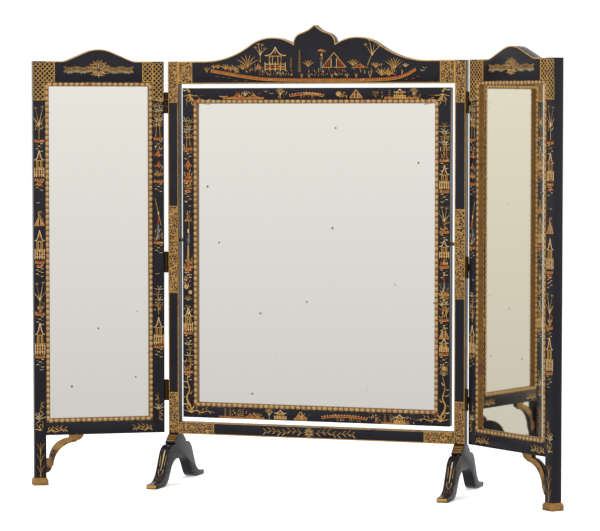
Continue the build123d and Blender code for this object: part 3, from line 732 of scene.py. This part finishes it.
pebbled = material("pebble diaper in shell gold on japan", pebbling)
panels = bmesh.new()
for side in (-1, 1):
    ends = [(*POST_EDGES, low, high) for low, high in POST_PANELS]
    ends += [(CREST_PANEL_END, 219.3, 612.5, 643.6), (LOWER_PANEL_END[side], 218.6, 76.2, 92.4)]
    for near, far, low, high in ends:
        sheet = bmesh.ops.create_grid(panels, x_segments=1, y_segments=1, size=0.5)["verts"]
        bmesh.ops.scale(panels, vec=(far - near, high - low, 1), verts=sheet)
        middle = (side * (near + far) / 2, (low + high) / 2, PANEL_SKIN / 2)
        bmesh.ops.translate(panels, vec=middle, verts=sheet)
bmesh.ops.solidify(panels, geom=panels.faces[:], thickness=PANEL_SKIN)
bmesh.ops.recalc_face_normals(panels, faces=panels.faces[:])
piece("stand_pebbled_panels", panels, facing("stand"), "stand", [pebbled])


# The sawn edges of the crest and of the side glasses' arched rails: a gold line, brushed
# along the front arris and followed round every curve.
EDGE_RISES = 0.25


def edging(node, width, low):
    """The rim of a piece's front face above a level, as a thin raised line of gold."""
    body = frame["nodes"][node]["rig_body"]
    plane = facing(body)
    rim = bmesh.new()
    rim.from_mesh(frame["nodes"][node].data)
    rim.transform(plane.inverted())
    bmesh.ops.remove_doubles(rim, verts=rim.verts, dist=MM)
    bmesh.ops.dissolve_limit(rim, angle_limit=math.radians(1), verts=rim.verts, edges=rim.edges)
    hidden = [face for face in rim.faces if face.normal.z < 0.99 or face.calc_center_median().z < -0.1]
    bmesh.ops.delete(rim, geom=hidden, context="FACES")
    bmesh.ops.inset_region(rim, faces=rim.faces[:], thickness=width, use_boundary=True,
                           use_even_offset=True)
    inner = [face for face in rim.faces if len(face.verts) > 4 or face.calc_center_median().z < -0.1
             or face.calc_center_median().y < low]
    bmesh.ops.delete(rim, geom=inner, context="FACES")
    bmesh.ops.translate(rim, vec=(0, 0, EDGE_RISES), verts=rim.verts)
    bmesh.ops.solidify(rim, geom=rim.faces[:], thickness=EDGE_RISES)
    bmesh.ops.recalc_face_normals(rim, faces=rim.faces[:])
    piece(node + "_gold_edge", rim, plane, body, [PAINTS["gold"]])


edging("crest_rail", 1.5, 613)
for side in SIDES:
    edging(f"{side}_wing_top_rail", 1.3, 643.6)


# The trestle feet: black like the posts, with long gold strokes down the shin, a gilt
# toe and a bronzed capital, all brushed over the sawn front edge.
FOOT_MIDDLE = 227.35
shin = [("pale", 2.6, "tail", [(0, 53), (0.4, 40), (-0.4, 24)]),
        ("gold", 1.6, "leaf", [(-5, 47), (-3.5, 38), (-4, 30)]),
        ("gold", 1.6, "leaf", [(5, 47), (3.5, 38), (4, 30)]),
        ("gold", 1.4, "tail", [(-3.5, 25), (-4, 19), (0, 16)]),
        ("gold", 1.4, "tail", [(3.5, 25), (4, 19), (0, 16)]),
        ("brown", 1.3, "leaf", [(-4.5, 15), (-4, 12), (-5, 9)]),
        ("brown", 1.3, "leaf", [(4.5, 15), (4, 12), (5, 9)]),
        ("brown", 1.3, "leaf", [(0, 14), (0.4, 11), (0, 8.5)])]
bands = line(-7, 72.5, 7, 72.5, 3.6, "brown") + line(-7, 65, 7, 65, 2.6) + line(-7, 69, 7, 69, 3.4, "brown")
bands += line(-7.4, 5.5, 7.4, 5.5, 1.8) + line(-7.4, 3.4, 7.4, 3.4, 2.4)
bands += line(-7.4, 1.6, 7.4, 1.6, 1.6, "brown")
for side, way in (("left", -1), ("right", 1)):
    foot = bmesh.new()
    foot.from_mesh(frame["nodes"][f"{side}_trestle_foot"].data)
    painted(f"{side}_foot_gold", at(shin + bands, way * FOOT_MIDDLE, 0), "stand", BVHTree.FromBMesh(foot))
    foot.free()


# The swing frame's ornament: islands, bridges, pavilions and figures climb the stiles and
# run along the rails, with leafy scrolls in each corner.
STILE_MIDDLE = 203.2
TOP_RAIL = 588.4
LOW_RAIL = 102.6
SWING_REACH = (-211.3, 211.3, 101.5, 604)
LEFT_GROVES = (470, 452, 505, 331, 232, 300, 175, 400)
RIGHT_GROVES = (450, 392, 341, 262, 208, 298, 178, 498)
CORNERS = ((-203, 592, False, -1), (203, 592, True, -1), (-203, 112, False, 1), (203, 112, True, 1))


def bridge(width, rise):
    """A humped bridge on piers, its vermilion parapet studded with gold."""
    half = width / 2
    arch = [("red", 2.2, "even", [(-half, rise * 0.35), (0, rise * 1.15), (half, rise * 0.35)]),
            ("gold", 0.9, "even", [(-half, rise * 0.1), (0, rise * 0.85), (half, rise * 0.1)])]
    for i in range(int(width / 4.5) + 1):
        x = -half + i * 4.5
        y = rise * (0.35 + 0.4 * (1 - (x / half) ** 2))
        arch.append(("pale", 1.2, "even", [(x, y + 0.2), (x, y + 1.9)]))
    for x in (-0.3, 0.3):
        arch.append(("gold", 1.4, "tail", [(x * half, rise * 0.6), (x * half * 1.1, -rise * 0.25)]))
    return arch


def scroll(size):
    """A leafy C-scroll for a corner: two tongues that curl in, and a tendril along the rail."""
    return [("gold", 1.6, "tail", [(0, 0), (size * 0.5, size * 0.5), (size * 0.15, size),
                                   (-size * 0.35, size * 0.65), (-size * 0.05, size * 0.4)]),
            ("pale", 1.5, "tail", [(size * 0.2, 0), (size * 0.9, size * 0.3), (size * 1.3, size * 0.1)]),
            ("gold", 1.4, "leaf", [(size * 0.1, size * 0.1), (size * 0.8, size * 0.75),
                                   (size * 0.9, size * 1.2)]),
            ("gold", 1.3, "leaf", [(0, size * 0.2), (-size * 0.3, size * 0.9), (-size * 0.1, size * 1.5)]),
            ("brown", 1.1, "tail", [(size * 0.3, size * 0.1), (size * 1.5, size * 0.4), (size * 2.3, 0)])]


def acanthus(size):
    """A running leaf for a corner: a waving stem along the rail with hooked lobes."""
    stem = [("gold", 2.2 * size, "tail", [(0, 0), (8 * size, 6 * size), (17 * size, -1),
                                          (27 * size, 5 * size), (38 * size, 1)])]
    for u, v, rise in ((3, 3, 6), (10, 5, 6), (14, 1, -3), (20, 1, 7), (26, 4, 5), (31, 3, -3)):
        bend = ((u - 3) * size, (v + rise * 0.7) * size)
        tip = ((u + 2) * size, (v + rise) * size)
        stem.append(("pale" if u % 2 else "gold", 1.7 * size, "leaf", [(u * size, v * size), bend, tip]))
    return stem


def islet(v, u=0.0, wide=15.0):
    """A short ribbed shore across a narrow stile, with its image broken up in the water."""
    water = []
    for i in range(7):
        drop = 3.5 + 1.9 * i
        along = 3.7 * (i * 2 % 3)
        paint = ("pale", "brown")[i % 2]
        water += line(u - 5.5 + along, v - drop, u - 1.8 + along, v - drop - 0.3, 1.0, paint)
    return bank([(u - wide / 2, v + 0.8), (u, v - 0.6), (u + wide / 2, v + 1.2)], 3.4) + water


left_stile = at(bamboo(40), -2.5, 514) + at(bamboo(35, -2), 3.5, 517)
left_stile += at(rock(12, 11), 0, 484) + at(rock(11, 10), 1, 466)
left_stile += islet(463) + islet(512) + at(fan(7, 120, 9, "brown", 2), 0, 449) + islet(447, 0, 10)
left_stile += at(person(58, "slate", "gold", True), 0, 334) + islet(331) + islet(327, 0, 10)
left_stile += at(fan(4, 100, 8), 5, 336)
left_stile += at(bird(3), 3, 424) + at(bird(2.6), -3, 430)
left_stile += at(blossom(4), -3, 301) + at(blossom(3.4), 3.5, 293) + at(fan(5, 120, 8), 0, 280)
left_stile += at(pavilion(15, 36), 0, 233) + islet(230)
left_stile += at(bamboo(40), 2, 172) + at(fan(4, 120, 8), -4, 173) + islet(170)
left_stile += at(tree(26), 0, 250, 0.8)
right_stile = at(bamboo(48), -1, 498) + at(bamboo(38, -2), 4, 498) + islet(496)
right_stile += at(pavilion(15, 34), 0, 454) + islet(450) + at(tree(34), 0, 392) + islet(390)
right_stile += at(pavilion(15, 26), 0, 352) + at(rock(11, 8), 0, 341) + islet(338)
right_stile += at(bird(3), 2, 379) + at(bamboo(36), -2, 262) + at(bamboo(30, -2), 4, 262) + islet(259)
right_stile += at(hut(15, 18), 0, 232) + at(pavilion(14, 20), 0, 212) + islet(208)
right_stile += at(person(30, "red", "slate"), 0, 300)
right_stile += islet(297) + at(fan(5, 110, 8), 0, 176) + at(blossom(3.4), 0, 188)
rails = at(left_stile, -STILE_MIDDLE, 0) + at(right_stile, STILE_MIDDLE, 0)
for u, v, flip, up in CORNERS:
    way = -1 if flip else 1
    leafy = at(scroll(12), 0, -3, 1, flip) + at(fan(5, 150, 11, "gold", 2.0), way * 3, -3)
    leafy += at(acanthus(1), way * 4, -4 * up, 1, flip)
    leafy += [(paint, width, form, [(-way * (y - 3), up * (x + 6)) for x, y in points])
              for paint, width, form, points in acanthus(1.5)]
    rails += [(paint, width, form, [(u + x, v + up * y if up < 0 else v + y) for x, y in points])
              for paint, width, form, points in leafy]
top, low = TOP_RAIL, LOW_RAIL
rails += at(rock(26, 8), -122, top) + at(rock(22, 7), -97, top)
rails += bank([(-146, top + 1), (-115, top), (-80, top + 1)], 2.2)
rails += [("gold", 1.4, "even", [(-152, top + 4), (-146, top + 2), (-138, top + 4)])]
rails += at(fan(4, 90, 8, "pale"), -110, top + 4) + at(bird(3.4), -77, top + 10) + at(bird(3), -68, top + 7)
rails += at(tree(13), -54, top) + at(bridge(54, 8), -12, top + 2) + at(blossom(4), 38, top + 7)
rails += at(fan(4, 130, 8), 44, top + 2) + at(hut(20, 12), 66, top + 1) + at(bird(3.6), 97, top + 8)
rails += at(cypress(13), 118, top) + at(pavilion(18, 14), 134, top) + at(tree(13), 156, top)
rails += bank([(110, top + 1), (134, top), (164, top + 1)], 2.2)
for u in (-143, -135, -119, -114.6, 111.8, 121):
    rails += at(cypress(13), u, low + 1)
rails += bank([(-153, low + 1), (-115, low), (-80, low + 1)], 2.2)
rails += at(rock(14, 8), -103, low) + at(fan(4, 90, 9), -90, low)
rails += at(tree(13), -72, low) + at(pavilion(19, 14), -54, low) + at(rock(20, 6), -21.6, low + 1)
rails += at(hut(20, 13), -21.6, low) + at(bridge(72, 8), 48, low + 3)
rails += at(person(13, "red", "gold"), 97.7, low)
rails += at(pavilion(17, 14), 134.6, low) + bank([(106, low + 1), (130, low), (150, low + 1)], 2.2)
for u, groves in ((-STILE_MIDDLE, LEFT_GROVES), (STILE_MIDDLE, RIGHT_GROVES)):
    for v in groves:
        rails += at(clump(13, 15, v, 22), u, v)
for u in (-120, -96, -52, -10, 42, 68, 100, 134, 156):
    rails += at(clump(18, 9, u + 500, 14), u, top) + at(clump(18, 9, u + 900, 14), u - 4, low)
painted("swing_frame_gold_and_vermilion", rails, "swing_mirror", None, SWING_REACH)


# The side glasses' ornament: trellis with gold borders in the upper corners, a
# chrysanthemum under the arch, islands up both stiles and leaves in the lower corners.
CELL = 7
TRELLIS_LINE = 1.25
OUTER_STILE = 194.7
INNER_STILE = 11.7
SPANDREL_FOOT = 587
BORDER_FOOT = 614.6
SPANDREL_TOP = 643.6
ARCH_MIDDLE = 103.2
def lattice(u0, u1, v0, v1):
    """A trellis of diamonds that fills a rectangle."""
    lines = []
    for i in range(int((u0 + v0) / CELL), int((u1 + v1) / CELL) + 1):
        left, right = max(u0, i * CELL - v1), min(u1, i * CELL - v0)
        if right - left > 1:
            lines += line(left, i * CELL - left, right, i * CELL - right, TRELLIS_LINE)
    for i in range(int((v0 - u1) / CELL), int((v1 - u0) / CELL) + 1):
        left, right = max(u0, v0 - i * CELL), min(u1, v1 - i * CELL)
        if right - left > 1:
            lines += line(left, left + i * CELL, right, right + i * CELL, TRELLIS_LINE)
    return lines


for side, way in (("left", -1), ("right", 1)):
    outer = islet(524) + at(tree(52), 0, 528, 0.9)
    outer += at(pavilion(15, 40), 0, 470) + islet(465) + at(rock(11, 8), 1, 456)
    outer += at(pavilion(15, 44), 0, 345) + at(hut(15, 16), 0, 396)
    outer += islet(340) + islet(334, 0, 9) + at(bird(3), 2, 430)
    outer += at(tree(44), 0, 264) + islet(261) + at(pavilion(15, 48), 0, 200) + islet(196)
    outer += at(bird(3), -2, 176) + at(scroll(10), -2, 84) + at(fan(5, 130, 12, "pale"), 2, 100)
    outer += vine([(0, 96), (2, 112), (-2, 128)], 5)
    for v in (17, 34, 51):
        outer += at(fan(3, 46, 15, "brown", 2.4), 0, v) + line(0, v - 4, 0, v + 10, 1.2)
    inner = at(bamboo(54), -3, 530) + at(bamboo(46, -2), 4, 530) + islet(527)
    inner += at(rock(12, 10), 0, 500) + at(rock(10, 9), -1, 484)
    inner += at(fan(5, 110, 9), 0, 470) + islet(462)
    inner += at(person(46, "red", "slate"), 0, 372) + line(-4, 395, 5, 436, 1.0) + islet(368)
    inner += at(bamboo(38), 0, 258) + at(pavilion(15, 42), 0, 212) + islet(208) + at(bird(3), 2, 320)
    inner += at(fan(5, 130, 11, "pale"), 0, 112) + vine([(0, 96), (-2, 112), (2, 138)], 5)
    glass = at(outer, way * OUTER_STILE, 0, 1, way < 0) + at(inner, way * INNER_STILE, 0, 1, way < 0)
    for near, far in ((3.4, 20), (186.4, 203)):
        left, right = sorted((way * near, way * far))
        glass += lattice(left, right, SPANDREL_FOOT, SPANDREL_TOP) + line(left, 586.6, right, 586.6, 1.5)
        glass += line(left, SPANDREL_FOOT, left, SPANDREL_TOP) + line(right, SPANDREL_FOOT, right, 614.4)
    for near, far, open_end in ((20, 35.4, 35.4), (171, 186.4, 171)):
        left, right = sorted((way * near, way * far))
        glass += lattice(left, right, 615, SPANDREL_TOP) + line(left, BORDER_FOOT, right, BORDER_FOOT)
        glass += line(way * open_end, BORDER_FOOT, way * open_end, SPANDREL_TOP, 1.5)
    heart = way * ARCH_MIDDLE
    for turn in range(0, 360, 40):
        spray = (math.cos(math.radians(turn)), math.sin(math.radians(turn)))
        glass += at(fan(4, 160, 7, "gold", 1.7), heart + 11 * spray[0], 632 + 9 * spray[1])
    glass += at(blossom(11), heart, 632)
    for lean in (-1, 1):
        stem = [(heart + lean * (9 + 10 * i), 632 + 1.5 * (-1) ** i) for i in range(5)]
        glass += vine(stem, 6.5) + vine([(u + lean * 3, v) for u, v in stem], 5)
    for near, lean in ((22, 1), (184, -1)):
        glass += at(acanthus(0.8), way * near, 81, 1, way * lean < 0)
    glass += vine([(way * 24, 84), (way * 38, 88), (way * 52, 84)], 5)
    glass += vine([(way * 182, 84), (way * 168, 88), (way * 154, 84)], 5)
    for v in (540, 470, 345, 400, 262, 200):
        glass += at(clump(13, 16, v, 20), way * OUTER_STILE, v)
    for v in (545, 500, 470, 372, 262, 212):
        glass += at(clump(13, 15, v + 7, 20), way * INNER_STILE, v)
    across = sorted((way * 3.5, way * 202.9))
    painted(f"{side}_side_glass_gold_and_vermilion", glass, f"{side}_wing", None, (*across, 12, 664))


# Deal backboards, cut nails, and brass hinges, screws and bushes, carried over as they
# are: the deal is raw and has gone brown, the iron is dark and the brass has dulled.
def deal(tree, shader, place):
    """Browned softwood with its grain running up the board."""
    along = add_node(tree, "ShaderNodeMapping", {"Scale": (220.0, 220.0, 7.0)}, {"Vector": place})
    rings = add_node(tree, "ShaderNodeTexNoise", {"Scale": 1.0, "Detail": 5.0, "Distortion": 0.6},
                     {"Vector": along.outputs[0]})
    colour = add_node(tree, "ShaderNodeMix",
                      {"data_type": "RGBA", 6: linear("#5C4024"), 7: linear("#A8834F")},
                      {0: rings.outputs[0]})
    fibre = add_node(tree, "ShaderNodeBump", {"Strength": 0.25, "Distance": 0.0003},
                     {"Height": rings.outputs[0]})
    shader.inputs["Roughness"].default_value = 0.72
    tree.links.new(colour.outputs[2], shader.inputs["Base Color"])
    tree.links.new(fibre.outputs[0], shader.inputs["Normal"])


def dulled_metal(tree, shader, place, bright, dark):
    bloom = add_node(tree, "ShaderNodeTexNoise", {"Scale": 260.0, "Detail": 5.0}, {"Vector": place})
    colour = add_node(tree, "ShaderNodeMix", {"data_type": "RGBA", 6: linear(dark), 7: linear(bright)},
                      {0: bloom.outputs[0]})
    rough = add_node(tree, "ShaderNodeMapRange", {"To Min": 0.28, "To Max": 0.55},
                     {"Value": bloom.outputs[0]})
    shader.inputs["Metallic"].default_value = 1
    tree.links.new(colour.outputs[2], shader.inputs["Base Color"])
    tree.links.new(rough.outputs[0], shader.inputs["Roughness"])


METALS = {"nails": ("cut iron nails", "#6A645C", "#2C2826"),
          "hinge": ("dulled cast brass", "#5A4628", "#1E1812"),
          "pivot": ("turned brass", "#B08C4C", "#6A4E28")}
finishes = {"backboard": material("raw deal, browned", deal)}
for word, (metal, bright, dark) in METALS.items():
    finishes[word] = material(metal, lambda *shader, tones=(bright, dark): dulled_metal(*shader, *tones))
for name, node in frame["nodes"].items():
    for word, finish in finishes.items():
        if word in name:
            refinish(node, finish)
